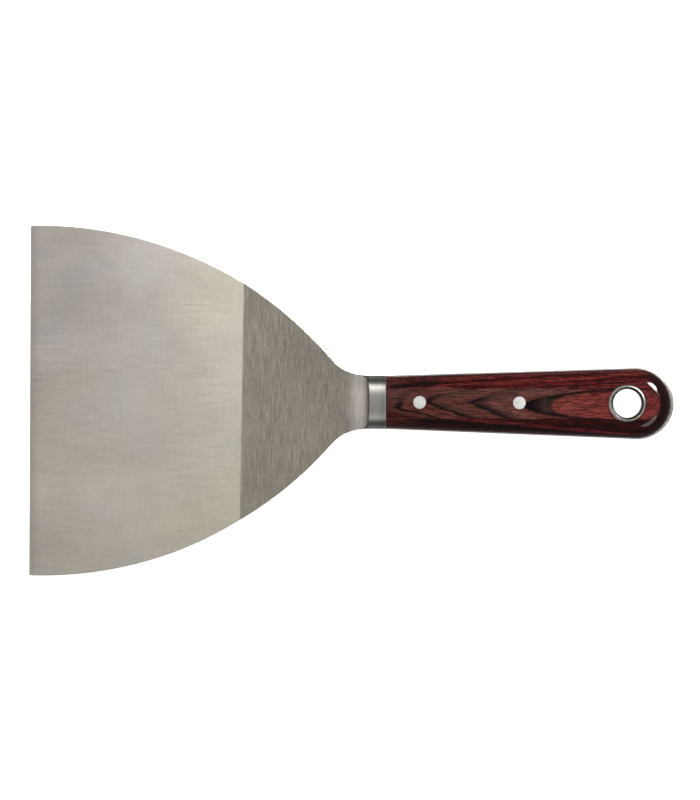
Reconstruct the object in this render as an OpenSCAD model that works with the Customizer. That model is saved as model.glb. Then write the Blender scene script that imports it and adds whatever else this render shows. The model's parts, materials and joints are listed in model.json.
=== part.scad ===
// Six-inch drywall taping knife: taper-ground full-tang blade, two bolster halves,
// two riveted laminated-wood scales and a rolled eyelet in the hanging hole.
// Millimetres. X runs from the working edge to the butt, Y across the blade, Z through it.
// The origin is the centre of the hanging hole, in the middle plane of the blade.

/* [Blade] */
// Width of the working edge
edge_w = 152.4; // [120:0.1:160]
// From the working edge to where the neck becomes parallel
blade_len = 146; // [140:0.5:160]
// Parallel stretch behind each corner of the edge
corner_run = 5; // [2:0.5:8]
// Concave radius where the blade runs into the neck
neck_fillet_r = 19; // [16:0.5:26]
// From the working edge to the shoulder line, where the taper grinding starts
grind_len = 92.4; // [60:0.5:96]
// Thickness of the blank, and so of the tang
stock_t = 2; // [1.6:0.1:2.5]
// Thickness just behind the working edge
edge_t = 0.5; // [0.4:0.05:0.8]

/* [Handle] */
// Thickness of the handle over both scales
handle_t = 16; // [15:0.5:18]
// Width of the neck and the bolster
neck_w = 23.2; // [21:0.1:24]
// Width of the tang across the butt
butt_w = 31; // [28:0.2:34]
// From the joint between bolster and scale to the end of the tang
grip_len = 125.3; // [115:0.1:130]
// How far in from each side the neck's rounding reaches
neck_round = 11; // [9:0.25:11]
// Fullness of the neck's rounding: 2 is elliptical, and more is squarer
neck_fullness = 2.8; // [2:0.1:4]
// Radius that rounds the butt's outer edge
butt_round = 6.8; // [4:0.2:7]
// How far the tang stands out past the scales along their sides
side_proud = 0.4; // [0.2:0.05:0.8]
// How far the tang stands out past the scales at the butt
butt_proud = 1.3; // [0.5:0.1:2]

/* [Bolster] */
// Length of the bolster's crest, from the ramp to the scale
crest_len = 7.2; // [5:0.2:10]
// Radius of the wheel that grinds the ramp in front of the crest
wheel_r = 12; // [10:0.5:16]
// Diameter of the hidden bolster pins
pin_d = 2.5; // [2:0.1:3]

/* [Rivets] */
// Diameter of a rivet head
rivet_head_d = 5.6; // [5:0.1:8]
// Height of a rivet head
rivet_head_t = 2; // [1.5:0.1:2.5]
// Outer diameter of the socket half's tube
rivet_tube_d = 4.2; // [4:0.1:4.6]
// Diameter of the post half's shank
rivet_post_d = 3; // [2.8:0.1:3.2]
// From the scale's front end to the fore rivet
fore_rivet_inset = 14.6; // [12:0.1:20]
// Distance between the two rivets
rivet_pitch = 43.4; // [38:0.1:48]

/* [Hanging hole] */
// Clear diameter of the eyelet
hole_d = 12.6; // [10:0.1:13]
// Outer diameter of its rolled lips
lip_d = 16.4; // [15.6:0.1:17]
// Wall of the eyelet's tube
eyelet_wall = 0.5; // [0.4:0.05:0.7]
// From the hole's centre to the end of the tang
hole_to_butt = 20.3; // [19:0.1:22]

/* [Hidden] */

// Free play of a pin, tube or head in its hole, on the radius.
play = 0.03;
// Amount by which a cutting shape passes the face that it cuts.
overcut = 1;

// Places along the knife.
butt_x = hole_to_butt;
joint_x = butt_x - grip_len;
crest_x = joint_x - crest_len;
flare_x = crest_x - 1.8;
edge_x = flare_x - blade_len;
grind_x = edge_x + grind_len;
fore_rivet_x = joint_x + fore_rivet_inset;
rear_rivet_x = fore_rivet_x + rivet_pitch;

// Heights above the middle plane, and thicknesses of a scale and of the bolster's low flare.
tang_z = stock_t / 2;
top_z = handle_t / 2;
side_t = top_z - tang_z;
flare_t = 1.2;

// Each side of the blade is one large arc that meets the neck's fillet smoothly.
fillet_y = neck_w / 2 + neck_fillet_r;
run_x = edge_x + corner_run;
arc_dx = flare_x - run_x;
arc_drop = fillet_y - edge_w / 2;
shoulder_r = (arc_dx ^ 2 + arc_drop ^ 2 - neck_fillet_r ^ 2) / (2 * (neck_fillet_r - arc_drop));
flare_angle = asin(arc_dx / (shoulder_r + neck_fillet_r));

// The butt is a half circle, and straight sides run from it to the neck.
tang_butt_r = butt_w / 2;
tang_butt_x = butt_x - tang_butt_r;
flank_angle = atan((tang_butt_r - neck_w / 2) / (tang_butt_x - joint_x));
scale_butt_r = tang_butt_r - side_proud;
scale_butt_x = butt_x - butt_proud - scale_butt_r;
scale_neck_w = neck_w - 2 * side_proud;

// The grinding: a short bevel at the edge, a taper that steepens towards the shoulder, and a
// small step up to the full thickness of the blank.
bevel_len = 1.2;
bevel_t = 0.3;
step_len = 0.5;
taper_t = 1.88;
taper_power = 1.3;
taper_len = grind_len - step_len;

// The bolster's toe, and the height of the ramp there.
crest_run = sqrt(wheel_r ^ 2 - (wheel_r - side_t) ^ 2);
wheel_x = crest_x - crest_run;
toe_x = wheel_x + 2;

// Hidden pins of the bolster.
pin_y = 5;
pin_x = joint_x - 3.4;
pin_reach = 4;

// Eyelet: the lip is half of a ring of round section, let into the scale.
lip_sink = 0.4;
lip_r = (lip_d - hole_d) / 4;
lip_mid_r = hole_d / 2 + lip_r;
tube_r = hole_d / 2 + eyelet_wall;

// Points on an arc of radius r about c, from angle a to angle b in n steps.
function arc(c, r, a, b, n) = [for (i = [0:n]) c + r * [cos(a + (b - a) * i / n), sin(a + (b - a) * i / n)]];

// A half outline above the X axis, closed by its mirror image.
function both_sides(half) = concat(half, [for (i = [len(half) - 1:-1:0]) [half[i].x, -half[i].y]]);

// The edge rounding as [inset, height] from the foot up: run wide and side_t high.
function rounding(run, fullness) = [for (i = [0:14])
    [run * (1 - cos(i * 90 / 14) ^ (2 / fullness)), side_t * sin(i * 90 / 14) ^ (2 / fullness)]];

// Half thickness of the taper-ground part at distance d behind the edge.
function taper(d) = (edge_t + (taper_t - edge_t) * (d / taper_len) ^ taper_power) / 2;

blade_outline = both_sides(concat(
    [[edge_x, edge_w / 2 - 0.4], [edge_x + 1.2, edge_w / 2]],
    arc([run_x, edge_w / 2 - shoulder_r], shoulder_r, 90, 90 - flare_angle, 28),
    arc([flare_x, fillet_y], neck_fillet_r, 270 - flare_angle, 270, 12),
    [[joint_x, neck_w / 2]],
    arc([tang_butt_x, 0], tang_butt_r, 90 + flank_angle, 0, 24)
));

// Side view of the blade; behind the shoulder line it clears the blank.
blade_profile = both_sides(concat(
    [[edge_x - overcut, bevel_t / 2], [edge_x, bevel_t / 2]],
    [for (i = [0:18]) let (d = bevel_len + (taper_len - bevel_len) * i / 18) [edge_x + d, taper(d)]],
    [[grind_x, tang_z], [grind_x + tang_z, 2 * tang_z], [butt_x + overcut, 2 * tang_z]]
));

// Cross-section of one side of the handle at the neck, of width w.
function neck_section(w) =
    let (side = [for (p = rounding(neck_round, neck_fullness)) [w / 2 - p.x, p.y]])
    concat(side, [for (i = [len(side) - 1:-1:0]) [-side[i].x, side[i].y]]);

// Holes through the tang or a scale, with the given radii.
module cross_holes(rivet_r, eyelet_r) {
    for (x = [fore_rivet_x, rear_rivet_x])
        translate([x, 0, 0]) cylinder(r = rivet_r, h = handle_t + 2 * overcut, center = true, $fn = 48);
    cylinder(r = eyelet_r, h = handle_t + 2 * overcut, center = true, $fn = 64);
}

module pin_holes() {
    for (y = [-pin_y, pin_y])
        translate([pin_x, y, 0])
            cylinder(d = pin_d + 2 * play, h = 2 * (tang_z + pin_reach + play), center = true, $fn = 32);
}

// A section drawn in Y and Z, pushed along X by len.
module along_x(len) {
    rotate([90, 0, 90]) linear_extrude(len) children();
}

module blade() {
    color([0.66, 0.64, 0.6])
        difference() {
            intersection() {
                linear_extrude(stock_t, center = true) polygon(blade_outline);
                rotate([90, 0, 0]) linear_extrude(edge_w + 2 * overcut, center = true) polygon(blade_profile);
            }
            cross_holes(rivet_tube_d / 2 + play, tube_r + play);
            pin_holes();
        }
}

// One bolster half, above the tang: a rounded block and a low flare that follows the
// blade's outline, both hollowed by the wheel that grinds the ramp.
module bolster() {
    color([0.74, 0.74, 0.72])
        difference() {
            union() {
                translate([toe_x, 0, tang_z]) along_x(joint_x - toe_x) polygon(neck_section(neck_w));
                bolster_flare();
            }
            grinding_wheel();
            pin_holes();
        }
}

module bolster_flare() {
    intersection() {
        translate([0, 0, tang_z]) linear_extrude(flare_t) polygon(blade_outline);
        translate([toe_x, -edge_w / 2, 0]) cube([flare_x - toe_x, edge_w, top_z]);
    }
}

module grinding_wheel() {
    translate([wheel_x, 0, tang_z + wheel_r])
        rotate([90, 0, 0]) cylinder(r = wheel_r, h = edge_w, center = true, $fn = 180);
}

module bolster_pin(y) {
    color([0.7, 0.7, 0.7])
        translate([pin_x, y, 0]) cylinder(d = pin_d, h = 2 * (tang_z + pin_reach), center = true, $fn = 32);
}

// One scale, above the tang: the butt's round-edged disc blended into the neck's section,
// bored for the rivets and the eyelet and sunk for their heads and lip.
module scale_body() {
    hull() {
        translate([scale_butt_x, 0, tang_z])
            rotate_extrude($fn = 72)
                polygon(concat([[0, 0]], [for (p = rounding(butt_round, 2)) [scale_butt_r - p.x, p.y]],
                               [[0, side_t]]));
        translate([joint_x, 0, tang_z]) along_x(0.01) polygon(neck_section(scale_neck_w));
    }
}

module scale_half() {
    color([0.36, 0.12, 0.1])
        difference() {
            scale_body();
            cross_holes(rivet_tube_d / 2 + play, tube_r + play);
            for (x = [fore_rivet_x, rear_rivet_x])
                translate([x, 0, top_z - rivet_head_t - play])
                    cylinder(d = rivet_head_d + 2 * play, h = rivet_head_t + overcut, $fn = 48);
            translate([0, 0, top_z - lip_sink]) cylinder(d = lip_d + 2 * play, h = overcut, $fn = 72);
        }
}

// The post half of a compression rivet: its head is in the front scale.
module rivet_post(x) {
    color([0.86, 0.86, 0.85])
        translate([x, 0, 0]) {
            translate([0, 0, top_z - rivet_head_t]) cylinder(d = rivet_head_d, h = rivet_head_t, $fn = 48);
            translate([0, 0, -top_z + 2 * rivet_head_t])
                cylinder(d = rivet_post_d, h = handle_t - 3 * rivet_head_t, $fn = 32);
        }
}

// The socket half: its head is in the back scale, and its tube takes the post.
module rivet_socket(x) {
    color([0.86, 0.86, 0.85])
        translate([x, 0, 0])
            difference() {
                union() {
                    translate([0, 0, -top_z]) cylinder(d = rivet_head_d, h = rivet_head_t, $fn = 48);
                    translate([0, 0, -top_z])
                        cylinder(d = rivet_tube_d, h = handle_t - rivet_head_t - 0.5, $fn = 48);
                }
                translate([0, 0, -top_z + rivet_head_t])
                    cylinder(d = rivet_post_d + 2 * play, h = handle_t, $fn = 32);
            }
}

module lip() {
    translate([lip_mid_r, top_z - lip_sink])
        intersection() {
            circle(r = lip_r, $fn = 48);
            translate([-lip_r, 0]) square([2 * lip_r, lip_r]);
        }
}

module hang_eyelet() {
    color([0.78, 0.78, 0.76])
        rotate_extrude($fn = 96) {
            translate([hole_d / 2, -top_z + lip_sink])
                square([eyelet_wall, handle_t - 2 * lip_sink]);
            lip();
            mirror([0, 1]) lip();
        }
}

blade();
bolster();  // bolster_front
mirror([0, 0, 1]) bolster();  // bolster_back
bolster_pin(pin_y);  // bolster_pin_left
bolster_pin(-pin_y);  // bolster_pin_right
scale_half();  // scale_front
mirror([0, 0, 1]) scale_half();  // scale_back
rivet_post(fore_rivet_x);  // fore_rivet_post
rivet_socket(fore_rivet_x);  // fore_rivet_socket
rivet_post(rear_rivet_x);  // rear_rivet_post
rivet_socket(rear_rivet_x);  // rear_rivet_socket
hang_eyelet();
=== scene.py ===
"""Looks of the drywall taping knife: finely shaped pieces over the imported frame, each with
its own procedural finish, under the photographer's softbox and a fill card."""

import json
import math

import bmesh
import bpy
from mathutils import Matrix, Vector


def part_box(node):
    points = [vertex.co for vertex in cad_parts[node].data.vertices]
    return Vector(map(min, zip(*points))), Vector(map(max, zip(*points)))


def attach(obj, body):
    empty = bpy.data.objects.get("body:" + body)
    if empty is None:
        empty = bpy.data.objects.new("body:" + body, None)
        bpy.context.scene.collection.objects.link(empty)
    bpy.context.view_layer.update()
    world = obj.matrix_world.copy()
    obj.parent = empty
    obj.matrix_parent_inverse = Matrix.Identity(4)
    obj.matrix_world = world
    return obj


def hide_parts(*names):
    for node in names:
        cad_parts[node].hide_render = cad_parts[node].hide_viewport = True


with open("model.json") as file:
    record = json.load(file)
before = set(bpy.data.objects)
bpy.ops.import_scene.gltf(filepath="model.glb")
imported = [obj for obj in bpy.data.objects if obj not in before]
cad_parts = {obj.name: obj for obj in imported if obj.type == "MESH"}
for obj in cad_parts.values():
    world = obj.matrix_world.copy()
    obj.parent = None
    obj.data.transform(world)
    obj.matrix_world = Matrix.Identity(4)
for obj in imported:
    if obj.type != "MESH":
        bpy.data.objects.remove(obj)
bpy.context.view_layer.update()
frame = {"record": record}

# ---- Sizes, in metres -------------------------------------------------------------------

MM = 0.001

blade_low, blade_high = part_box("blade")
scale_low, scale_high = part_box("scale_front")
eyelet_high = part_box("hang_eyelet")[1]
post_low, post_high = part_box("fore_rivet_post")
rear_low, rear_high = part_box("rear_rivet_post")
pin_low, pin_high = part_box("bolster_pin_left")
hole = next(m for m in frame["record"]["mounts"] if m["name"] == "hang_hole")

# Places along the knife.
EDGE_X = blade_low.x
BUTT_X = blade_high.x
JOINT_X = scale_low.x
SCALE_END_X = scale_high.x
FORE_X = (post_low.x + post_high.x) / 2
REAR_X = (rear_low.x + rear_high.x) / 2
FLARE_X = JOINT_X - 9 * MM
CREST_X = JOINT_X - 7.2 * MM
GRIND_X = EDGE_X + 92.4 * MM
GRIND_SLANT = 0.0125
PIN_X = (pin_low.x + pin_high.x) / 2

# Widths and radii seen from above.
EDGE_HALF = blade_high.y
NECK_HALF = 11.6 * MM
NECK_FILLET = 19 * MM
CORNER_RUN = 5 * MM
CORNER_RELIEF = 0.4 * MM
RELIEF_RUN = 1.2 * MM
BUTT_R = 15.5 * MM
SCALE_BUTT_R = scale_high.y
SIDE_PROUD = BUTT_R - SCALE_BUTT_R

# Heights above the blade's middle plane.
TANG_Z = blade_high.z
TOP_Z = scale_high.z
LIP_Z = eyelet_high.z
SIDE_T = TOP_Z - TANG_Z
NECK_ROUND, NECK_FULLNESS = 11 * MM, 2.8
BUTT_ROUND, BUTT_FULLNESS = 6.8 * MM, 2.0
HEAD_CROWN = 0.04 * MM
EDGE_T = 0.5 * MM
BEVEL_T = 0.3 * MM
BEVEL_RUN = 1.2 * MM
TAPER_T = 1.88 * MM
TAPER_POWER = 1.3
STEP_RUN = 0.5 * MM
BLADE_BREAK = 0.12 * MM
TANG_BREAK = 0.45 * MM
JOINT_BREAK = 0.06 * MM

# Bolster ramp.
WHEEL_R = 12 * MM
WHEEL_X = CREST_X - math.sqrt(WHEEL_R ** 2 - (WHEEL_R - SIDE_T) ** 2)
TOE_H = 0.006 * MM

# Eyelet and rivets.
HOLE_R = hole["dims"]["r_mm"] * MM
LIP_OUT_R = eyelet_high.x
LIP_R = (LIP_OUT_R - HOLE_R) / 2
SEAT_Z = LIP_Z - LIP_R
TUBE_R = HOLE_R + 0.5 * MM
HEAD_R = (post_high.x - post_low.x) / 2
HEAD_T = 2 * MM
HEAD_BREAK = 0.1 * MM
POST_R = 1.5 * MM
SOCKET_R = 2.1 * MM
SOCKET_MOUTH = TOP_Z - HEAD_T - 0.5 * MM
TUBE_CHAMFER = 0.2 * MM
POST_CHAMFER = 0.3 * MM
PIN_R = (pin_high.x - pin_low.x) / 2
PIN_Y = 5 * MM
PIN_CHAMFER = 0.25 * MM
PLAY = 0.03 * MM

# Outline arcs that follow from the sizes above.
FILLET_Y = NECK_HALF + NECK_FILLET
RUN_X = EDGE_X + CORNER_RUN
ARC_DX = FLARE_X - RUN_X
ARC_DROP = FILLET_Y - EDGE_HALF
SHOULDER_R = (ARC_DX ** 2 + ARC_DROP ** 2 - NECK_FILLET ** 2) / (2 * (NECK_FILLET - ARC_DROP))
FLARE_ANGLE = math.asin(ARC_DX / (SHOULDER_R + NECK_FILLET))
TANGENT_X = RUN_X + SHOULDER_R * math.sin(FLARE_ANGLE)
BUTT_CX = BUTT_X - BUTT_R
FLANK = math.atan((BUTT_R - NECK_HALF) / (BUTT_CX - JOINT_X))
SCALE_CX = SCALE_END_X - SCALE_BUTT_R

# Mesh working values: the sharpest edge that is smoothed, the bluntest that is broken, how
# near two vertices are welded, and where vertices lie across a face, as shares of its width.
SMOOTH_LIMIT = math.radians(38)
BREAK_LIMIT = math.radians(20)
WELD = 0.002 * MM
FLANK_STEPS = 18
TOP_SPANS = [k / 12 for k in range(1, 12)]
BLADE_SPANS = [0.004, 0.012, 0.04, 0.12, 0.22, 0.32, 0.44, 0.56, 0.68, 0.78, 0.88, 0.96, 0.988, 0.996]


# ---- Outlines ---------------------------------------------------------------------------


def blade_half_width(x):
    """Half the width of the blade and neck at x, ahead of the handle."""
    if x < EDGE_X + RELIEF_RUN:
        return EDGE_HALF - CORNER_RELIEF * (1 - (x - EDGE_X) / RELIEF_RUN) ** 2
    if x < RUN_X:
        return EDGE_HALF
    if x < TANGENT_X:
        return EDGE_HALF - SHOULDER_R + math.sqrt(SHOULDER_R ** 2 - (x - RUN_X) ** 2)
    if x < FLARE_X:
        return FILLET_Y - math.sqrt(NECK_FILLET ** 2 - (FLARE_X - x) ** 2)
    return NECK_HALF


def spread(start, end, steps):
    """Evenly spaced values from start up to, but not including, end."""
    return [start + (end - start) * i / steps for i in range(steps)]


def blade_stations():
    """Places along the blade, closer together where its shape turns quickly."""
    step_x = GRIND_X - STEP_RUN
    return (
        spread(EDGE_X, EDGE_X + RELIEF_RUN, 6)
        + spread(EDGE_X + RELIEF_RUN, RUN_X, 3)
        + spread(RUN_X, step_x, 30)
        + spread(step_x, GRIND_X, 4)
        + spread(GRIND_X, TANGENT_X, 14)
        + spread(TANGENT_X, FLARE_X, 24)
        + spread(FLARE_X, JOINT_X, 4)
    )


def butt_outline(centre_x, radius, neck_half, steps):
    """One side of the handle's outline, as (x, y, outward normal), from the joint to the
    middle of the butt."""
    slope = math.pi / 2 + FLANK
    normal = (math.cos(slope), math.sin(slope))
    end = (centre_x + radius * normal[0], radius * normal[1])
    points = []
    for f in spread(0, 1, FLANK_STEPS):
        x, y = JOINT_X + (end[0] - JOINT_X) * f, neck_half + (end[1] - neck_half) * f
        points.append((x, y, normal))
    for k in range(steps + 1):
        a = slope * (1 - k / steps)
        normal = (math.cos(a), math.sin(a))
        points.append((centre_x + radius * normal[0], radius * normal[1], normal))
    return points


# ---- Mesh building ----------------------------------------------------------------------


def smooth_mesh(bm):
    """Welds and orients the mesh, and smooths it except across sharp edges."""
    bmesh.ops.remove_doubles(bm, verts=bm.verts, dist=WELD)
    bmesh.ops.recalc_face_normals(bm, faces=bm.faces)
    for face in bm.faces:
        face.smooth = True
    for edge in bm.edges:
        edge.smooth = edge.calc_face_angle(0) < SMOOTH_LIMIT


def finish_mesh(name, bm):
    """Makes an object of the bmesh."""
    smooth_mesh(bm)
    mesh = bpy.data.meshes.new(name)
    bm.to_mesh(mesh)
    bm.free()
    piece = bpy.data.objects.new(name, mesh)
    bpy.context.scene.collection.objects.link(piece)
    return piece


def bridge(bm, first, second, closed=True):
    """Quads between two rows of vertices."""
    count = len(first) if closed else len(first) - 1
    for i in range(count):
        j = (i + 1) % len(first)
        corners = [first[i], first[j], second[j], second[i]]
        if len(set(corners)) > 2:
            bm.faces.new(corners)


def add_rows(bm, rows):
    """Vertices at the points of each row."""
    return [[bm.verts.new(point) for point in row] for row in rows]


def ring(x, y, normal, side, spans):
    """A closed loop round a plate at one station: up one side, across the top, down the
    other side and back below. side lists (inset from the outline, z), bottom to top."""
    left = [Vector((x - normal[0] * d, y - normal[1] * d, z)) for d, z in side]
    right = [Vector((p.x, -p.y, p.z)) for p in reversed(left)]
    top = [left[-1].lerp(right[0], f) for f in spans]
    bottom = [right[-1].lerp(left[0], f) for f in spans]
    return left + top + right + bottom


def cap(bm, row, sides, spans):
    """Closes a ring from ring() with strips between its top and bottom."""
    top = [row[sides - 1 + i] for i in range(spans + 2)]
    bottom = [row[(2 * sides + 2 * spans - i) % len(row)] for i in range(spans + 2)]
    bottom[0] = row[0]
    bottom[-1] = row[2 * sides + spans - 1]
    bridge(bm, top, bottom, closed=False)
    bm.faces.new(row[:sides])
    bm.faces.new(row[sides + spans : 2 * sides + spans])


def turned(name, profile, x, y=0.0, tube=False, segments=96):
    """A turned piece about the Z axis through (x, y). profile lists (radius, z) in order: a
    closed loop for a tube, or from one flat end to the other for a solid bar."""
    bm = bmesh.new()
    rows = []
    for r, z in profile:
        angles = [2 * math.pi * i / segments for i in range(segments)]
        rows.append([bm.verts.new((x + r * math.cos(a), y + r * math.sin(a), z)) for a in angles])
    for first, second in zip(rows, rows[1:]):
        bridge(bm, first, second)
    if tube:
        bridge(bm, rows[-1], rows[0])
    else:
        bm.faces.new(rows[0])
        bm.faces.new(rows[-1])
    return finish_mesh(name, bm)


def drill(piece, x, r, low, high):
    """Takes a round hole out of the piece, between two heights."""
    cut(piece, turned("drill", [(r, low), (r, high)], x))


def cut(piece, tool):
    """Takes the tool's shape out of the piece, and deletes the tool."""
    boolean = piece.modifiers.new("cut", "BOOLEAN")
    boolean.operation = "DIFFERENCE"
    boolean.solver = "EXACT"
    boolean.object = tool
    evaluated = piece.evaluated_get(bpy.context.evaluated_depsgraph_get())
    mesh = bpy.data.meshes.new_from_object(evaluated)
    piece.modifiers.clear()
    bm = bmesh.new()
    bm.from_mesh(mesh)
    smooth_mesh(bm)
    bm.to_mesh(mesh)
    bm.free()
    piece.data = mesh
    bpy.data.objects.remove(tool)


def lay_map(piece, rule):
    """Gives the piece a texture map; rule makes (u, v) from a face's centre and a point."""
    layer = piece.data.uv_layers.new(name="finish")
    for face in piece.data.polygons:
        for corner in face.loop_indices:
            point = piece.data.vertices[piece.data.loops[corner].vertex_index].co
            layer.data[corner].uv = rule(face.center, point)


def mirror_z(piece, name):
    """A copy of the piece, mirrored to the back of the knife."""
    mesh = piece.data.copy()
    for vertex in mesh.vertices:
        vertex.co.z = -vertex.co.z
    mesh.flip_normals()
    copy = bpy.data.objects.new(name, mesh)
    bpy.context.scene.collection.objects.link(copy)
    return copy


# ---- Pieces -----------------------------------------------------------------------------


def half_thickness(x):
    """Half the blade's thickness: bevel, taper grinding, a small step, then full stock."""
    d = x - EDGE_X
    taper_len = GRIND_X - STEP_RUN - EDGE_X
    if d < BEVEL_RUN:
        return (BEVEL_T + (EDGE_T - BEVEL_T) * d / BEVEL_RUN) / 2
    if d <= taper_len:
        return (EDGE_T + (TAPER_T - EDGE_T) * (d / taper_len) ** TAPER_POWER) / 2
    if x < GRIND_X:
        f = (d - taper_len) / STEP_RUN
        return TAPER_T / 2 + (TANG_Z - TAPER_T / 2) * f * f
    return TANG_Z


def broken_edge(t, e):
    """Side profile of a plate of half thickness t with rounded edges of radius e."""
    turn = (0, math.pi / 6, math.pi / 3, math.pi / 2)
    upper = [(e * (1 - math.cos(a)), t - e * (1 - math.sin(a))) for a in turn]
    return [(d, -z) for d, z in reversed(upper)] + upper


def make_blade():
    """Blade and tang in one piece, with the shoulder line slightly out of square."""
    bm = bmesh.new()
    rows = []
    for x in blade_stations():
        t = half_thickness(x)
        dx = 0.01 * MM
        slope = (blade_half_width(x + dx) - blade_half_width(x)) / dx
        length = math.hypot(slope, 1)
        side = broken_edge(t, min(BLADE_BREAK, 0.6 * t))
        row = ring(x, blade_half_width(x), (-slope / length, 1 / length), side, BLADE_SPANS)
        near = max(0.0, 1 - abs(x - GRIND_X) / (30 * MM))
        rows.append([Vector((p.x + GRIND_SLANT * p.y * near, p.y, p.z)) for p in row])
    for x, y, normal in butt_outline(BUTT_CX, BUTT_R, NECK_HALF, 36):
        rows.append(ring(x, y, normal, broken_edge(TANG_Z, TANG_BREAK), BLADE_SPANS))
    made = add_rows(bm, rows)
    for first, second in zip(made, made[1:]):
        bridge(bm, first, second)
    cap(bm, made[0], len(side), len(BLADE_SPANS))
    piece = finish_mesh("blade_ground", bm)
    for x, r in ((FORE_X, SOCKET_R), (REAR_X, SOCKET_R), (0, TUBE_R)):
        drill(piece, x, r + PLAY, -2 * TANG_Z, 2 * TANG_Z)
    lay_map(piece, across_or_along)
    return piece


def rounded_side(run, fullness, steps=26):
    """(inset, height) up a rounded side that reaches run inwards, from its foot to its top."""
    turn = [math.pi / 2 * k / steps for k in range(steps + 1)]
    power = 2 / fullness
    return [(run * (1 - abs(math.cos(a)) ** power), SIDE_T * math.sin(a) ** power) for a in turn]


def ramp_x(h):
    """Where the ground ramp reaches height h above the tang."""
    h = max(h, TOE_H)
    return WHEEL_X + math.sqrt(WHEEL_R ** 2 - (WHEEL_R - h) ** 2)


def bolster_lines(side):
    """Lines along the half-bolster from its ramp to the joint: up its left side, then down
    its right."""
    levels = [(d, 1, h) for d, h in side] + [(d, -1, h) for d, h in reversed(side)]
    columns = [f ** 1.3 for f in spread(0, 1, 22) + [1]]
    lines = []
    for d, f, h in levels:
        start = ramp_x(h)
        xs = [start + (JOINT_X - start) * c for c in columns]
        lines.append([Vector((x, (blade_half_width(x) - d) * f, TANG_Z + h)) for x in xs])
    return lines


def make_bolster():
    """The front half-bolster: a block with rounded edges that follows the flaring neck, cut
    off by the wheel-ground ramp."""
    bm = bmesh.new()
    side = [(0, 0), (0, TOE_H)] + rounded_side(NECK_ROUND, NECK_FULLNESS)[1:]
    lines = bolster_lines(side)
    top = len(side)
    over = [[a.lerp(b, f) for a, b in zip(lines[top - 1], lines[top])] for f in TOP_SPANS]
    under = [[a.lerp(b, f) for a, b in zip(lines[-1], lines[0])] for f in TOP_SPANS]
    block = add_rows(bm, lines[:top] + over + lines[top:] + under)
    for first, second in zip(block, block[1:] + block[:1]):
        bridge(bm, first, second, closed=False)
    ramp = []
    for line in lines[:top]:
        start, end = line[0], Vector((line[0].x, -line[0].y, line[0].z))
        ramp.append([start.lerp(end, f) for f in [0] + TOP_SPANS + [1]])
    ramp = add_rows(bm, ramp)
    for first, second in zip(ramp, ramp[1:]):
        bridge(bm, first, second, closed=False)
    bm.faces.new([row[-1] for row in block])
    bmesh.ops.remove_doubles(bm, verts=bm.verts, dist=WELD)
    middle_x, low_z = (JOINT_X + CREST_X) / 2, TANG_Z + 0.3 * MM
    break_edges(bm, lambda a, b: min(a.x, b.x) > middle_x and min(a.z, b.z) > low_z, JOINT_BREAK)
    piece = finish_mesh("bolster_front_ground", bm)
    lay_map(piece, along_knife)
    return piece


def break_edges(bm, chosen, width):
    """Rounds the sharp edges whose two ends pass the test."""
    bm.normal_update()
    sharp = [e for e in bm.edges if len(e.link_faces) == 2 and e.calc_face_angle(0) > BREAK_LIMIT]
    sharp = [e for e in sharp if chosen(e.verts[0].co, e.verts[1].co)]
    bmesh.ops.bevel(
        bm, geom=sharp, offset=width, segments=2, profile=0.5, affect="EDGES", clamp_overlap=True
    )


def along_knife(centre, point):
    """Texture map whose first axis runs along the knife and whose second goes round it."""
    return point.x / MM, math.atan2(abs(point.z) + 4 * MM, point.y) * 10


def across_or_along(centre, point):
    """Texture map whose first axis is square to the grinding lines: across the flexible part,
    whose lines run along the knife, and along the thick part, whose lines run across it."""
    if is_flexible(centre):
        return point.y / MM, point.x / MM
    return point.x / MM, point.y / MM


def is_flexible(point):
    """Whether a point of the blade lies ahead of the shoulder line."""
    return point.x < GRIND_X + GRIND_SLANT * point.y


def make_scale():
    """The front scale: a lacquered slab with a rounded rim, bored for the rivets and the eyelet
    and sunk for their heads and lip."""
    bm = bmesh.new()
    rows = []
    for x, y, normal in butt_outline(SCALE_CX, SCALE_BUTT_R, NECK_HALF - SIDE_PROUD, 44):
        f = min(1, (x - JOINT_X) / (SCALE_CX - JOINT_X))
        run = NECK_ROUND + (BUTT_ROUND - NECK_ROUND) * f
        fullness = NECK_FULLNESS + (BUTT_FULLNESS - NECK_FULLNESS) * f
        side = [(d, TANG_Z + h) for d, h in rounded_side(run, fullness)]
        rows.append(ring(x, y, normal, side, TOP_SPANS))
    made = add_rows(bm, rows)
    for first, second in zip(made, made[1:]):
        bridge(bm, first, second)
    cap(bm, made[0], len(side), len(TOP_SPANS))
    bmesh.ops.remove_doubles(bm, verts=bm.verts, dist=WELD)
    end_x, low_z = JOINT_X + 0.01 * MM, 1.2 * TANG_Z
    break_edges(bm, lambda a, b: max(a.x, b.x) < end_x and min(a.z, b.z) > low_z, JOINT_BREAK)
    piece = finish_mesh("scale_front_lacquered", bm)
    for x in (FORE_X, REAR_X):
        drill(piece, x, SOCKET_R + PLAY, 0, 2 * TOP_Z)
        drill(piece, x, HEAD_R + PLAY, TOP_Z - HEAD_T - PLAY, 2 * TOP_Z)
    drill(piece, 0, TUBE_R + PLAY, 0, 2 * TOP_Z)
    drill(piece, 0, LIP_OUT_R + PLAY, SEAT_Z, 2 * TOP_Z)
    return piece


def make_post(name, x):
    """Post half of a compression rivet: a faintly domed head, ground with the scale."""
    shank_end = 2 * HEAD_T - TOP_Z
    tip = [(POST_R - POST_CHAMFER, shank_end), (POST_R, shank_end + POST_CHAMFER)]
    return turned(name, tip + [(POST_R, TOP_Z - HEAD_T)] + rivet_head(), x)


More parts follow.
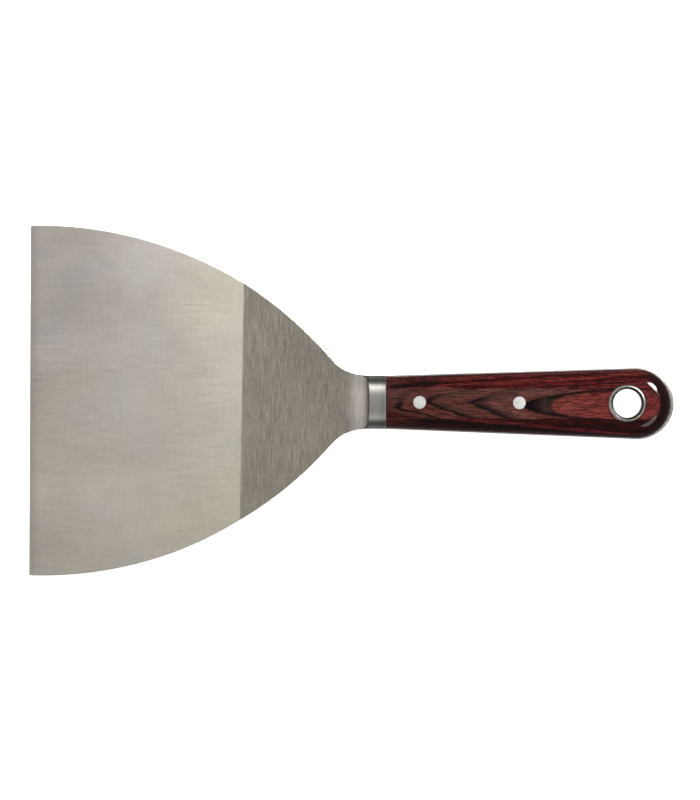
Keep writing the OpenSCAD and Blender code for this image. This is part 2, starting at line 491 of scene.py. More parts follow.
def rivet_head():
    """Profile of a head from its underside to its ground face."""
    rim = TOP_Z - HEAD_CROWN
    edge = [(HEAD_R, TOP_Z - HEAD_T), (HEAD_R, rim - 1.2 * HEAD_BREAK), (HEAD_R - HEAD_BREAK, rim)]
    face = [(HEAD_R * f, TOP_Z - HEAD_CROWN * f * f) for f in (0.8, 0.55, 0.3, 0.08)]
    return edge + face


def make_socket(name, x):
    """Socket half: its head is in the back scale, and its tube takes the post."""
    head = [(r, -z) for r, z in reversed(rivet_head())]
    bore = POST_R + PLAY
    under, mouth = HEAD_T - TOP_Z, SOCKET_MOUTH
    tube = [(SOCKET_R, under), (SOCKET_R, mouth - TUBE_CHAMFER), (SOCKET_R - TUBE_CHAMFER, mouth)]
    inside = [(bore, mouth), (bore, under), (bore * 0.1, under - 0.4 * MM)]
    return turned(name, head + tube + inside, x)


def make_eyelet():
    """A tube with both ends rolled over into round lips."""
    mid_r = HOLE_R + LIP_R
    turns = [math.pi * k / 18 for k in range(19)]
    upper = [(mid_r + LIP_R * math.cos(a), SEAT_Z + LIP_R * math.sin(a)) for a in turns]
    lower = [(r, -z) for r, z in reversed(upper)]
    wall = [(HOLE_R, z * SEAT_Z) for z in (0.9, 0.5, 0.0, -0.5, -0.9)]
    outside = [(TUBE_R, -SEAT_Z), (TUBE_R, SEAT_Z)]
    return turned("hang_eyelet_rolled", upper + wall + lower + outside, 0, tube=True, segments=144)


def make_pin(name, y):
    """A blind bolster pin with chamfered ends."""
    c = PIN_CHAMFER
    low, high = pin_low.z, pin_high.z
    profile = [(PIN_R - c, low), (PIN_R, low + c), (PIN_R, high - c), (PIN_R - c, high)]
    return turned(name, profile, PIN_X, y, segments=48)


# ---- Materials --------------------------------------------------------------------------


class Finish:
    """A procedural material under construction."""

    def __init__(self, name):
        """Starts with a shader and the object's own coordinates, in millimetres."""
        self.material = bpy.data.materials.new(name)
        self.material.use_nodes = True
        self.tree = self.material.node_tree
        self.shader = self.tree.nodes["Principled BSDF"]
        here = self.node("TexCoord").outputs["Object"]
        in_mm = self.node("VectorMath", {0: here, "Scale": 1 / MM}, operation="SCALE")
        self.place = in_mm.outputs[0]
        axes = self.node("SeparateXYZ", {0: self.place}).outputs
        self.x, self.y, self.z = axes[0], axes[1], axes[2]

    def node(self, kind, inputs=None, **settings):
        """A new node; inputs holds values or links by socket, settings its properties."""
        new = self.tree.nodes.new("ShaderNode" + kind)
        for key, value in settings.items():
            setattr(new, key, value)
        for key, value in (inputs or {}).items():
            self.put(new.inputs[key], value)
        return new

    def put(self, socket, value):
        """Links a socket to the value, or sets it."""
        if isinstance(value, bpy.types.NodeSocket):
            self.tree.links.new(value, socket)
        else:
            socket.default_value = value

    def set(self, **values):
        """Puts values on the shader, with names such as Base_Color."""
        for key, value in values.items():
            self.put(self.shader.inputs[key.replace("_", " ")], value)

    def math(self, operation, *values):
        """One step of arithmetic."""
        inputs = dict(enumerate(values))
        return self.node("Math", inputs, operation=operation).outputs[0]

    def add(self, *values):
        """The sum of all the values."""
        total = values[0]
        for value in values[1:]:
            total = self.math("ADD", total, value)
        return total

    def times(self, a, b):
        """The product of two values."""
        return self.math("MULTIPLY", a, b)

    def noise(self, stretch, detail=2.0, roughness=0.5, shift=0.0):
        """Noise from -0.5 to 0.5 whose features per millimetre along X, Y and Z are stretch."""
        inputs = {0: self.place, 1: stretch, 2: (shift,) * 3}
        where = self.node("VectorMath", inputs, operation="MULTIPLY_ADD").outputs[0]
        inputs = {"Vector": where, "Scale": 1.0, "Detail": detail, "Roughness": roughness}
        made = self.node("TexNoise", inputs)
        return self.math("SUBTRACT", made.outputs[0], 0.5)

    def smooth(self, value, low, high, start=0.0, end=1.0):
        """A soft step: start where value is at low, end where it is at high."""
        inputs = {"Value": value, "From Min": low, "From Max": high, "To Min": start, "To Max": end}
        return self.node("MapRange", inputs, interpolation_type="SMOOTHSTEP").outputs[0]

    def ramp(self, value, stops):
        """Colour ramp; stops lists (value, linear RGBA) from low to high."""
        low, high = stops[0][0], stops[-1][0]
        along = self.math("DIVIDE", self.math("SUBTRACT", value, low), high - low)
        made = self.node("ValToRGB", {0: along})
        elements = made.color_ramp.elements
        elements.remove(elements[1])
        for k, (position, colour) in enumerate(stops):
            f = (position - low) / (high - low)
            element = elements[0] if k == 0 else elements.new(f)
            element.position, element.color = f, colour
        return made.outputs[0]

    def table(self, value, points):
        """Straight lines through points, which lists (value, result) from low to high."""
        low, high = min(p[1] for p in points), max(p[1] for p in points)
        greys = [(x, [(y - low) / (high - low)] * 3 + [1]) for x, y in points]
        return self.add(self.times(self.ramp(value, greys), high - low), low)

    def mix(self, factor, a, b, blend="MIX"):
        """Colour a where factor is 0 and b where it is 1."""
        made = self.node("Mix", {0: factor}, data_type="RGBA", blend_type=blend)
        self.put(made.inputs[6], a)
        self.put(made.inputs[7], b)
        return made.outputs[2]

    def shade(self, colour, amount):
        """The colour, made lighter or darker by a factor around 1."""
        grey = self.node("CombineColor", {0: amount, 1: amount, 2: amount}).outputs[0]
        return self.mix(1.0, colour, grey, "MULTIPLY")

    def bump(self, height, distance):
        """Normal for a relief; distance is its depth, in metres, where height is 1."""
        inputs = {"Height": height, "Distance": distance, "Strength": 1.0}
        return self.node("Bump", inputs).outputs[0]

    def lines_from_map(self, amount):
        """Stretches reflections along the first axis of the texture map."""
        along = self.node("Tangent", direction_type="UV_MAP", uv_map="finish").outputs[0]
        self.set(Anisotropic=amount, Tangent=along)


def linear(colour):
    """Linear RGBA from 8-bit sRGB."""
    parts = [c / 255 for c in colour]
    return [c / 12.92 if c <= 0.04045 else ((c + 0.055) / 1.055) ** 2.4 for c in parts] + [1]


def flexible_steel():
    """Fine grinding lines along the knife, faintly crossed and clouded; painted light makes the
    steel brighter towards the shoulder and the blade's left side."""
    f = Finish("steel_ground_along")
    lines = f.noise((0.10, 2.0, 2.0), 2, 0.6)
    cross = f.noise((1.3, 0.10, 0.10), 2, shift=7)
    cloud = f.noise((0.022, 0.035, 0.035), 2, shift=3)
    stain = f.noise((0.03, 0.03, 0.03), 2, shift=15)
    speck = f.noise((0.9, 1.6, 1.6), 2, shift=11)
    tone = f.add(1.0, f.times(lines, 0.24), f.times(cross, 0.12), f.times(cloud, 0.22), f.times(speck, 0.2))
    # Painted light: brighter towards the shoulder and, more so nearer the shoulder, towards the left side.
    painted_light_gradient = f.add(1.57, f.times(f.x, 0.0022), f.times(f.y, f.smooth(f.x, -245, -180, 0.0, 0.0026)))
    # Darker within 5 mm of the working edge.
    darker_at_edge = f.smooth(f.x, EDGE_X / MM, EDGE_X / MM + 5, 0.9, 1.0)
    tone = f.times(tone, darker_at_edge)
    colour = f.mix(f.smooth(f.x, -235, -150), linear((207, 199, 193)), linear((208, 202, 191)))
    colour = f.mix(f.smooth(f.y, 30, -40, 0.0, 0.4), colour, linear((209, 202, 184)))
    colour = f.mix(f.smooth(stain, 0.0, 0.16, 0.0, 0.3), colour, linear((208, 202, 182)))
    colour = f.mix(f.smooth(stain, -0.02, -0.16, 0.0, 0.25), colour, linear((204, 201, 202)))
    f.set(Base_Color=f.shade(colour, f.times(tone, painted_light_gradient)))
    f.set(Metallic=1.0, Roughness=f.add(0.46, f.times(cloud, 0.06), f.times(lines, 0.10)))
    f.set(Normal=f.bump(f.add(lines, f.times(cross, 0.3)), 0.0012 * MM))
    f.lines_from_map(0.3)
    return f.material


def thick_steel():
    """Coarser and duller grinding lines across the knife, down to the tang's bare rim; painted light makes
    it darker towards the crest and the tang rim lighter.
    """
    f = Finish("steel_ground_across")
    lines = f.noise((1.9, 0.10, 0.10), 2, 0.6)
    coarse = f.noise((0.5, 0.03, 0.03), 2, shift=5)
    cloud = f.noise((0.03, 0.03, 0.03), 2, shift=9)
    speck = f.noise((1.2, 0.7, 0.7), 2, shift=13)
    tone = f.add(1.0, f.times(lines, 0.62), f.times(coarse, 0.1), f.times(cloud, 0.16), f.times(speck, 0.4))
    # Painted light: lighter at the shoulder line, darker towards the crest, and a lighter, bluer tang rim
    # behind the joint.
    painted_light_tone = f.smooth(f.x, GRIND_X / MM, CREST_X / MM, 1.1, 0.93)
    painted_light_tone = f.mix(f.smooth(f.x, JOINT_X / MM, JOINT_X / MM + 1), painted_light_tone, (1.32, 1.38, 1.46, 1))
    f.set(Base_Color=f.mix(1.0, f.shade(linear((182, 174, 162)), tone), painted_light_tone, "MULTIPLY"))
    f.set(Metallic=1.0, Roughness=f.add(0.34, f.times(lines, 0.14), f.times(cloud, 0.06)))
    f.set(Normal=f.bump(f.add(lines, coarse), 0.0025 * MM))
    f.lines_from_map(0.5)
    return f.material


# Painted light and shade on the bolster's steel: how bright it is, by how far its surface faces sideways.
PAINTED_SIDE_LIGHT = [(0, 1), (0.22, 1), (0.33, 0.85), (0.42, 0.56), (0.55, 0.42), (0.66, 0.5), (0.8, 0.95), (1, 1.15)]


def bolster_steel():
    """Belt lines like the blade's on the ramp, and a fine satin on the crest, under painted light
    and shade: a dark line at the crest, darker ramp sides, and a tone set by how far it faces sideways.
    """
    f = Finish("steel_bolster")
    crest = f.smooth(f.x, CREST_X / MM - 0.4, CREST_X / MM + 0.2)
    facing = f.node("SeparateXYZ", {0: f.node("TexCoord").outputs["Normal"]}).outputs
    # Painted shade: a dark line where the ramp turns steep at the crest.
    painted_crest_shade = f.smooth(facing[0], -0.90, -0.76, 0.25, 1.0)
    lines = f.noise((1.4, 0.08, 0.08), 3, 0.6, shift=2)
    speck = f.noise((1.3, 1.0, 1.0), 3, shift=6)
    # Painted shade: the ramp darker towards its outer sides.
    painted_outer_shade = f.smooth(f.math("ABSOLUTE", f.y), 4, 9, 1.0, 0.84)
    ramp_tone = f.times(painted_outer_shade, f.add(1.0, f.times(lines, 0.7), f.times(speck, 0.3)))
    # Lighter at the crest and darker towards the joint.
    darker_towards_joint = f.smooth(f.x, CREST_X / MM, JOINT_X / MM, 1.08, 0.82)
    crest_tone = f.times(darker_towards_joint, f.add(1.0, f.times(lines, 0.3), f.times(speck, 0.5)))
    toe = f.smooth(f.x, WHEEL_X / MM, WHEEL_X / MM + 6)
    ramp = f.mix(toe, linear((155, 149, 139)), linear((184, 177, 169)))
    side = f.math("ABSOLUTE", facing[1])
    # Painted light and shade by how far the surface faces sideways.
    painted_side_light = f.table(side, PAINTED_SIDE_LIGHT)
    satin = f.shade(linear((205, 203, 197)), crest_tone)
    f.set(Base_Color=f.shade(f.mix(crest, f.shade(ramp, ramp_tone), satin), f.times(painted_crest_shade, painted_side_light)))
    f.set(Metallic=1.0, Roughness=f.add(0.34, f.times(lines, 0.10), f.times(crest, -0.04)))
    f.set(Normal=f.bump(f.add(f.times(lines, 0.5), f.times(speck, crest)), 0.001 * MM))
    f.lines_from_map(0.55)
    return f.material


def plain_steel():
    """Turned pin steel."""
    f = Finish("steel_turned")
    rings = f.noise((0.3, 0.3, 6.0), 2)
    f.set(Base_Color=f.shade(linear((190, 190, 188)), f.add(1.0, f.times(rings, 0.3))))
    f.set(Metallic=1.0, Roughness=f.add(0.35, f.times(rings, 0.2)))
    return f.material


def rivet_aluminium():
    """Soft bright metal, sanded flush with the wood."""
    f = Finish("aluminium_sanded")
    scuff = f.noise((1.6, 2.6, 2.6), 3)
    dents = f.noise((1.1, 1.1, 1.1), 2, shift=4)
    tone = f.add(0.93, f.times(scuff, 0.36), f.times(f.smooth(dents, 0.1, 0.2), -0.3))
    f.set(Base_Color=f.shade(linear((240, 239, 237)), tone))
    f.set(Metallic=1.0, Roughness=f.add(0.42, f.times(scuff, 0.2)))
    f.set(Normal=f.bump(scuff, 0.004 * MM))
    return f.material


def eyelet_nickel():
    """Satin plating over the rolled lip, uneven from the setting tool, with painted shade darkening the
    throat.
    """
    f = Finish("nickel_plated")
    wave = f.noise((0.5, 0.5, 0.5), 2)
    fine = f.noise((3.0, 3.0, 3.0), 2, shift=8)
    radius = f.math("SQRT", f.add(f.times(f.x, f.x), f.times(f.y, f.y)))
    # Painted shade: the throat darkens towards the middle of the hole.
    painted_shade_depth = f.smooth(f.math("ABSOLUTE", f.z), SEAT_Z / MM - 4, SEAT_Z / MM - 1, 0.5, 0.05)
    throat = f.smooth(radius, HOLE_R / MM + 0.5, HOLE_R / MM + 1.15, painted_shade_depth, 1.0)
    tone = f.times(throat, f.add(1.0, f.times(fine, 0.5), f.times(wave, 1.4)))
    f.set(Base_Color=f.shade(linear((172, 170, 164)), tone))
    f.set(Metallic=1.0, Roughness=f.add(0.34, f.times(fine, 0.10)))
    f.set(Normal=f.bump(f.add(wave, f.times(fine, 0.1)), 0.02 * MM))
    return f.material


# Dyes of the veneers, as they look under the lacquer.
BLACK, INK, PLUM, WINE = (24, 13, 12), (38, 18, 18), (48, 17, 20), (65, 24, 27)
CRIMSON, RUST, EMBER = (84, 32, 35), (98, 41, 39), (118, 59, 53)
NIGHT, SLATE, UMBER, BROWN, ROSE = (34, 16, 17), (38, 28, 26), (72, 50, 47), (95, 57, 53), (110, 68, 64)

# Middle of the front scale: where the arches' tips lie across it, and how far each arch
# falls back per mm to the left and right of its tip, by place along the knife.
TIPS = [(-105, -2.6), (-97, -2.6), (-90, -1.6), (-86, 0.2), (-70, -0.2), (-56, -0.4), (-44, -1.1)]
TIPS += [(-25, -1.2), (0, -0.9)]
LEFT_FALL = [(-100, 0.45), (-94, 0.8), (-84, 1.7), (-78, 2.6), (-68, 3.0), (-40, 3.2)]
RIGHT_FALL = [(-100, 6.0), (-92, 4.4), (-86, 2.1), (-80, 2.2), (-70, 2.9), (-40, 2.9)]
ARCHES = [
    (-116, (62, 32, 31)),
    (-107, (82, 50, 47)),
    (-103.2, (76, 45, 43)),
    (-102, INK),
    (-101, BLACK),
    (-99.9, INK),
    (-98.6, BROWN),
    (-92, (84, 44, 41)),
    (-89.6, BROWN),
    (-88.2, SLATE),
    (-86.4, INK),
    (-84.6, UMBER),
    (-80, BROWN),
    (-74, (94, 52, 47)),
    (-72, UMBER),
    (-70.9, (30, 21, 20)),
    (-69.3, SLATE),
    (-66, UMBER),
    (-58, ROSE),
    (-51, (92, 52, 48)),
    (-20, BROWN),
]
# Half the width of the black veneer in front of the eyelet, of the bright one inside it and
# of the bright one's soft edge, by place along the knife.
HEART_EDGE = [(-47.5, -0.8), (-46, 0.3), (-43, 1.9), (-39.8, 3.1), (-34.8, 4.1), (-30, 4.8)]
HEART_EDGE += [(-26, 5.4), (-18, 6.6), (-5, 7.7), (12, 8.1)]
FLAME_EDGE = [(-36, -2.5), (-33.2, 0.0), (-31.5, 2.2), (-28, 3.6), (-24.5, 4.6), (-16, 5.5)]
FLAME_EDGE += [(0, 6.4), (12, 6.5)]
FLAME_SOFT = [(-36, 2.2), (-30, 1.2), (-24, 0.4)]
HEART = [
    (-48, BLACK),
    (-43, (24, 18, 17)),
    (-38.5, (32, 25, 23)),
    (-35, (50, 38, 36)),
    (-33, (34, 26, 25)),
    (-26, SLATE),
    (-14, INK),
    (0, BLACK),
]
FLAME = [(-30, EMBER), (-8, (114, 53, 50)), (6, (108, 49, 48))]

# Veneers that come out along the two sides, by distance from the middle less their run-out.
LEFT_SIDE = [
    (-2.0, CRIMSON),
    (0.2, (96, 42, 42)),
    (1.6, (92, 44, 43)),
    (2.25, (62, 21, 22)),
    (2.9, (86, 38, 40)),
    (3.7, CRIMSON),
    (4.2, (58, 14, 18)),
    (4.7, (84, 33, 33)),
    (5.4, RUST),
    (6.1, (96, 42, 38)),
    (6.7, (54, 14, 17)),
    (7.1, (50, 12, 15)),
    (7.7, (82, 32, 36)),
    (8.7, (92, 44, 42)),
    (9.6, (70, 27, 27)),
    (10.2, (54, 24, 24)),
    (11.0, PLUM),
    (12.0, CRIMSON),
    (12.8, INK),
    (13.8, RUST),
    (14.4, BLACK),
    (15.4, WINE),
    (16.4, CRIMSON),
    (17.0, INK),
    (18.4, BROWN),
]
RIGHT_SIDE = [
    (-1.4, (42, 19, 20)),
    (0.0, PLUM),
    (1.2, (54, 22, 23)),
    (1.8, PLUM),
    (2.8, (42, 15, 18)),
    (3.6, (46, 17, 17)),
    (4.1, (88, 33, 36)),
    (4.8, (92, 38, 37)),
    (5.2, (50, 22, 22)),
    (5.7, NIGHT),
    (6.6, NIGHT),
    (7.2, (42, 19, 20)),
    (8.2, PLUM),
    (9.4, (42, 19, 20)),
    (10.2, WINE),
    (11.0, NIGHT),
    (12.2, CRIMSON),
    (13.0, PLUM),
    (14.0, NIGHT),
    (15.0, RUST),
    (15.8, WINE),
    (17.0, NIGHT),
    (18.4, BROWN),
]
# How far from the middle the arches give way to the sides, by place along the knife.
BULGE = [(-105, 6.3), (-86, 7.0), (-78, 7.2), (-70, 6.5), (-40, 6.7), (-24, 5.9), (0, 6.5)]
# Resin-black patches in the sides, as (x, y, half length, half width).
PATCHES = [
    (-87.6, 8.1, 7.0, 1.25),
    (-97.5, 7.3, 6.0, 0.5),
    (-75.5, -8.2, 6.5, 1.0),
    (-88.0, -7.9, 9.0, 0.8),
]
# What the lacquer adds to a dye, what the light multiplies it by, and the darkest dye.
SHEEN = 0.007
GLOW = 1.5
DARKEST = 0.0015


def dye(colour):
    """Linear RGBA of a veneer whose colour is given as it looks under the lacquer."""
    return [max(DARKEST, (c - SHEEN) / GLOW) for c in linear(colour)[:3]] + [1]


def dyed(stops):
    """Ramp stops whose colours are given as they look under the lacquer."""
    return [(where, dye(colour)) for where, colour in stops]


def cathedral(f, depth, warp):
    """Nested arches down the middle, where the stack is nearly level with the surface."""
    aside = f.add(f.y, f.times(f.table(f.x, TIPS), -1.0), f.times(warp, 0.16))
    left = f.math("MAXIMUM", aside, 0.0)
    right = f.math("MAXIMUM", f.times(aside, -1.0), 0.0)
    fall = f.add(f.times(left, f.table(f.x, LEFT_FALL)), f.times(right, f.table(f.x, RIGHT_FALL)))
    where = f.add(f.x, f.times(fall, -1.0), f.times(depth, -12.0), warp)
    colour = f.ramp(where, dyed(ARCHES))
    colour = f.mix(f.smooth(aside, 0.8, 4.5, 0.0, 0.5), colour, dye((95, 64, 60)))
    return heartwood(f, aside, depth, warp, colour)


def heartwood(f, aside, depth, warp, colour):
    """The colour, with the black veneer in front of the eyelet and the bright one inside it."""
    closing = f.times(depth, f.smooth(f.x, 2, 11, 2.0, 20.0))
    half = f.add(f.math("ABSOLUTE", aside), closing)
    inside = f.math("SUBTRACT", f.table(f.x, HEART_EDGE), half)
    heart = f.ramp(f.add(f.x, warp), dyed(HEART))
    pale = f.times(f.smooth(inside, 0.8, 2.2), f.smooth(f.x, -42, -35))
    heart = f.mix(pale, heart, dye((58, 43, 41)))
    colour = f.mix(f.smooth(inside, -0.35, 0.2), colour, heart)
    bright = f.math("SUBTRACT", f.table(f.x, FLAME_EDGE), half)
    bright = f.smooth(f.math("DIVIDE", bright, f.table(f.x, FLAME_SOFT)), -1.0, 1.0)
    return f.mix(bright, colour, f.ramp(f.x, dyed(FLAME)))


def side_veneers(f, depth, warp):
    """Thin edges of the veneers along the sides, running out slowly towards the rim."""
    wall = f.math("MAXIMUM", f.add(depth, -2.5), 0.0)
    colours = []
    for side, slope, stops in ((1.0, 0.065, LEFT_SIDE), (-1.0, 0.085, RIGHT_SIDE)):
        run_out = f.times(f.add(f.x, 105.0), -slope)
        where = f.add(f.times(f.y, side), run_out, wall, f.times(warp, 0.2))
        colours.append(f.ramp(where, dyed(stops)))
    colour = f.mix(f.smooth(f.y, -0.5, 0.5), colours[1], colours[0])
    return f.mix(f.smooth(f.x, -100, -88, 0.75, 0.0), colour, dye((74, 42, 40)))


def stained_sides(f, depth, warp, fibre, shift):
    """The side veneers, with dark and light stains along the grain."""
    sides = side_veneers(f, depth, f.add(warp, f.times(fibre, 0.7)))
    stain = f.noise((0.05, 0.9, 0.9), 3, 0.6, shift + 7)
    sides = f.mix(f.smooth(stain, 0.04, 0.14, 0.0, 0.75), sides, dye((34, 13, 15)))
    return f.mix(f.smooth(stain, -0.06, -0.16, 0.0, 0.42), sides, dye(RUST))


def edge_of_sides(f, depth, warp, fibre):
    """0 on the arches down the middle and 1 on the side veneers, with a ragged border."""
    off_middle = f.math("ABSOLUTE", f.add(f.y, 0.4))
    rim = f.add(off_middle, f.times(warp, 0.22), f.times(fibre, 0.5), f.times(depth, 0.5))
    return f.smooth(f.math("SUBTRACT", rim, f.table(f.x, BULGE)), -0.4, 0.5)


def laminated_wood(name, side, shift):
    """Dyed veneers pressed in resin and cut at a shallow angle, under a deep gloss lacquer.
    side is 1 for the front scale; -1 mirrors the figure for the back one. shift moves the
    grain, so that the two scales differ."""
    f = Finish(name)
    if side < 0:
        f.x, f.y = f.add(f.x, 6.0), f.times(f.y, -1.0)
    depth = f.math("SUBTRACT", TOP_Z / MM, f.math("ABSOLUTE", f.z))
    warp = f.add(
        f.times(f.noise((0.05, 0.22, 0.22), 3, shift=shift + 3), 8.0),
        f.times(f.noise((0.09, 1.1, 1.1), 3, shift=shift + 5), 3.6),
    )
    fibre = f.smooth(f.noise((0.085, 1.5, 1.5), 3, 0.6, shift + 1), -0.16, 0.16, -0.5, 0.5)
    fine = f.smooth(f.noise((0.26, 3.2, 3.2), 2, 0.6, shift + 6), -0.12, 0.12, -0.5, 0.5)
    beside = edge_of_sides(f, depth, warp, fibre)
    sides = stained_sides(f, depth, warp, fibre, shift)
    colour = f.mix(beside, cathedral(f, depth, warp), sides)
    colour = f.mix(patches(f, f.add(warp, fibre)), colour, dye((30, 14, 15)))
    # Painted shade: an ink-dark band on the butt's rounded rim.
    painted_butt_shade = f.times(f.smooth(depth, 0.1, 0.6), f.smooth(f.x, 4.0, 13.0))
    colour = f.mix(painted_butt_shade, colour, dye(INK))
    strength = f.add(f.smooth(f.x, -40, -24, 0.7, 0.95), f.times(beside, 0.35))
    grain = f.times(f.add(f.times(fibre, 0.55), f.times(fine, 1.25)), strength)
    colour = f.shade(colour, f.math("MAXIMUM", f.add(1.0, grain), 0.2))
    pores = f.smooth(f.noise((0.3, 3.6, 3.6), 1, shift=shift + 2), 0.12, 0.2)
    colour = f.mix(f.times(pores, 0.6), colour, dye(BLACK))
    add_lacquer(f, colour, shift)
    return f.material


def add_lacquer(f, colour, shift):
    """Wood of this colour under a clear coat that is very slightly uneven."""
    f.set(Base_Color=colour, Roughness=0.5, Specular_IOR_Level=0.0)
    f.set(Coat_Weight=1.0, Coat_Roughness=0.09, Coat_IOR=1.42)
    ripple = f.noise((0.12, 0.2, 0.2), 2, shift=shift + 4)
    f.set(Coat_Normal=f.bump(ripple, 0.06 * MM))


def patches(f, warp):
    """How much resin-black shows at a place."""
    total = None
    for x, y, long, wide in PATCHES:
        u = f.times(f.add(f.x, -x), 1 / long)
        lean = f.times(f.add(f.x, -x), -0.06 if y > 0 else 0.05)
        v = f.times(f.add(f.y, -y, lean, f.times(warp, 0.3)), 1 / wide)
        spot = f.smooth(f.add(f.times(u, u), f.times(v, v)), 0.6, 1.3, 0.85, 0.0)
        total = spot if total is None else f.math("MAXIMUM", total, spot)
    return total


def studio_white():
    """Matt white that glows a little, so that the contact shadows stay pale."""
    f = Finish("studio_white")
    grain = f.noise((0.002, 0.002, 0.002), 2)
    f.set(Base_Color=f.shade(linear((240, 240, 240)), f.add(1.0, f.times(grain, 0.01))), Roughness=0.9)
    f.set(Emission_Color=(1, 1, 1, 1), Emission_Strength=0.95)
    return f.material


# ---- The object -------------------------------------------------------------------------


def place(piece, node, slot, *materials):
    """Puts a piece on the knife in place of a CAD node."""
    for material in materials:
        piece.data.materials.append(material)
    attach(piece, "root")
    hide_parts(node)
    return piece


def build_knife():
    """Every piece of the knife, in its place and finish."""
    blade = place(make_blade(), "blade", "blade_steel", flexible_steel(), thick_steel())
    for face in blade.data.polygons:
        face.material_index = 0 if is_flexible(face.center) else 1

    bolster_finish = bolster_steel()
    bolster = make_bolster()
    back_bolster = mirror_z(bolster, "bolster_back_ground")
    place(bolster, "bolster_front", "bolster_steel", bolster_finish)
    place(back_bolster, "bolster_back", "bolster_steel", bolster_finish)

    scale = make_scale()
    back_scale = mirror_z(scale, "scale_back_lacquered")
    place(scale, "scale_front", "laminated_wood", laminated_wood("wood_front", 1, 0.0))
    place(back_scale, "scale_back", "laminated_wood", laminated_wood("wood_back", -1, 40.0))

    aluminium = rivet_aluminium()
    for end, x in (("fore", FORE_X), ("rear", REAR_X)):
        post = make_post(end + "_rivet_post_ground", x)
        socket = make_socket(end + "_rivet_socket_ground", x)
        place(post, end + "_rivet_post", "rivet_aluminium", aluminium)
        place(socket, end + "_rivet_socket", "rivet_aluminium", aluminium)

    pin_finish = plain_steel()
    for side, y in (("left", PIN_Y), ("right", -PIN_Y)):
        pin = make_pin("bolster_pin_" + side + "_turned", y)
        place(pin, "bolster_pin_" + side, "pin_steel", pin_finish)

    place(make_eyelet(), "hang_eyelet", "eyelet_nickel", eyelet_nickel())


# ---- Studio -----------------------------------------------------------------------------

# Half the floor's width and its gap below the knife; the wall's radius, foot, top and sides.
FLOOR_HALF = 14.0
FLOOR_GAP = 0.03 * MM
WALL_R, WALL_LOW, WALL_HIGH, WALL_SIDES = 7, -1.5, 5, 64

# The lights' distance from the butt, their widths and depths, and how bright they are.
LIGHT_DISTANCE = 1.4
KEY_SIZE, KEY_RADIANCE, KEY_COLOUR = (0.45, 0.66), 37.0, (1.0, 0.99, 0.97)
FILL_SIZE, FILL_RADIANCE, FILL_COLOUR = (0.66, 0.66), 2.7, (1.0, 0.96, 0.91)
ROOM_COLOUR = (0.96, 0.98, 1.0, 1)
# How bright the room is by direction: axis, then from and to along it, brightness at each.
ROOM_PARTS = ((2, -0.5, 0.05, 0.18, 0.15), (0, -0.62, -0.04, 0.8, 0.0))

# The camera's place and roll, and the height of what it frames.
CAMERA_PLACE = ((EDGE_X + BUTT_X) / 2 - 0.8 * MM, 0.9 * MM, 5.0)
CAMERA_ROLL = math.radians(0.28)
SENSOR_MM = 36
FRAME_HEIGHT = 348.3 * MM


def add_backdrop(name, corners, faces, white):
    """A white surface of the studio, which the knife's metal and lacquer don't reflect."""
    mesh = bpy.data.meshes.new(name)
    mesh.from_pydata(corners, [], faces)
    mesh.materials.append(white)
    backdrop = bpy.data.objects.new(name, mesh)
    bpy.context.scene.collection.objects.link(backdrop)
    backdrop.visible_glossy = False
    return backdrop


def add_floor(white):
    """A pale floor under the knife as it lies: on its working edge and the bolster's crest."""
    rest_low = Vector((EDGE_X, 0, -BEVEL_T / 2))
    rest_high = Vector((CREST_X, 0, -TOP_Z))
    drop = rest_high - rest_low
    h = FLOOR_HALF
    corners = [(-h, -h, 0), (h, -h, 0), (h, h, 0), (-h, h, 0)]
    floor = add_backdrop("studio_floor", corners, [(0, 1, 2, 3)], white)
    floor.rotation_euler.y = math.atan2(-drop.z, drop.x)
    floor.location = rest_low - Vector((0, 0, FLOOR_GAP))


def add_wall(white):
    """A round white wall outside the camera's orbit, seen only by the camera."""
    n = WALL_SIDES
    around = [2 * math.pi * k / n for k in range(n)]
    heights = (WALL_LOW, WALL_HIGH)
    corners = [(WALL_R * math.cos(a), WALL_R * math.sin(a), z) for z in heights for a in around]
    faces = [(k, (k + 1) % n, n + (k + 1) % n, n + k) for k in range(n)]
    wall = add_backdrop("studio_wall", corners, faces, white)
    wall.visible_diffuse = wall.visible_shadow = False


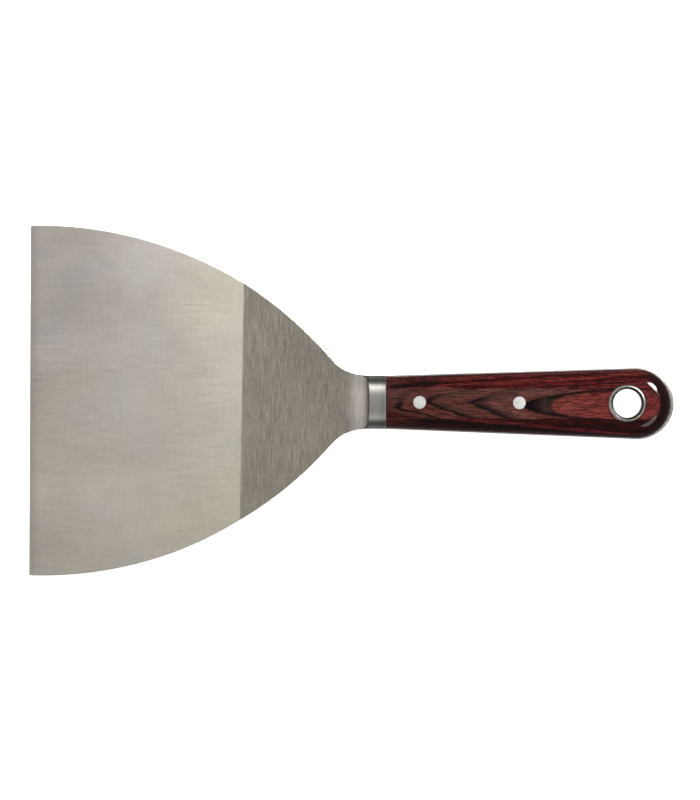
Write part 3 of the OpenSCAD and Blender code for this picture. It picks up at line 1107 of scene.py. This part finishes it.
def add_softbox(name, tilt, azimuth, size, radiance, colour):
    """An oval light, size wide and deep. The butt sees it at a tilt from the vertical and at
    an azimuth, both in degrees."""
    aim = Vector((SCALE_CX, 0, TOP_Z))
    light = bpy.data.lights.new(name, "AREA")
    light.shape = "ELLIPSE"
    light.size, light.size_y = size
    light.energy = radiance * math.pi * size[0] * size[1] * math.pi / 4
    light.color = colour
    lamp = bpy.data.objects.new(name, light)
    a, t = math.radians(azimuth), math.radians(tilt)
    way = Vector((math.sin(t) * math.cos(a), math.sin(t) * math.sin(a), math.cos(t)))
    lamp.location = aim + way * LIGHT_DISTANCE
    lamp.rotation_mode = "QUATERNION"
    lamp.rotation_quaternion = way.to_track_quat("Z", "Y")
    bpy.context.scene.collection.objects.link(lamp)


def add_lights():
    """A softbox over the butt's left side and a much weaker card over its right, placed where
    the lacquer and the bolster reflect them."""
    add_softbox("key_softbox", 40, 45, KEY_SIZE, KEY_RADIANCE, KEY_COLOUR)
    add_softbox("fill_card", 35, -52, FILL_SIZE, FILL_RADIANCE, FILL_COLOUR)


def add_room():
    """A dim room, a little paler below and brightest beyond the blade's working edge."""
    world = bpy.data.worlds.new("studio_room")
    world.use_nodes = True
    tree = world.node_tree
    way = tree.nodes.new("ShaderNodeTexCoord").outputs["Generated"]
    axes = tree.nodes.new("ShaderNodeSeparateXYZ")
    tree.links.new(way, axes.inputs[0])
    total = None
    for axis, low, high, start, end in ROOM_PARTS:
        part = tree.nodes.new("ShaderNodeMapRange")
        part.interpolation_type = "SMOOTHSTEP"
        tree.links.new(axes.outputs[axis], part.inputs[0])
        for socket, value in zip(part.inputs[1:5], (low, high, start, end)):
            socket.default_value = value
        if total is None:
            total = part.outputs[0]
            continue
        both = tree.nodes.new("ShaderNodeMath")
        tree.links.new(total, both.inputs[0])
        tree.links.new(part.outputs[0], both.inputs[1])
        total = both.outputs[0]
    background = tree.nodes["Background"]
    background.inputs[0].default_value = ROOM_COLOUR
    tree.links.new(total, background.inputs[1])
    bpy.context.scene.world = world


def add_camera():
    """A long lens straight above the blade, framing the knife with wide margins."""
    camera = bpy.data.cameras.new("camera")
    camera.sensor_width = SENSOR_MM
    camera.lens = SENSOR_MM * CAMERA_PLACE[2] / FRAME_HEIGHT
    camera.clip_end = 50
    holder = bpy.data.objects.new("camera", camera)
    holder.location = CAMERA_PLACE
    holder.rotation_euler.z = CAMERA_ROLL
    bpy.context.scene.collection.objects.link(holder)
    bpy.context.scene.camera = holder
    bpy.context.scene.view_settings.view_transform = "Standard"


backdrop_white = studio_white()
add_camera()
add_floor(backdrop_white)
add_wall(backdrop_white)
add_lights()
add_room()
build_knife()
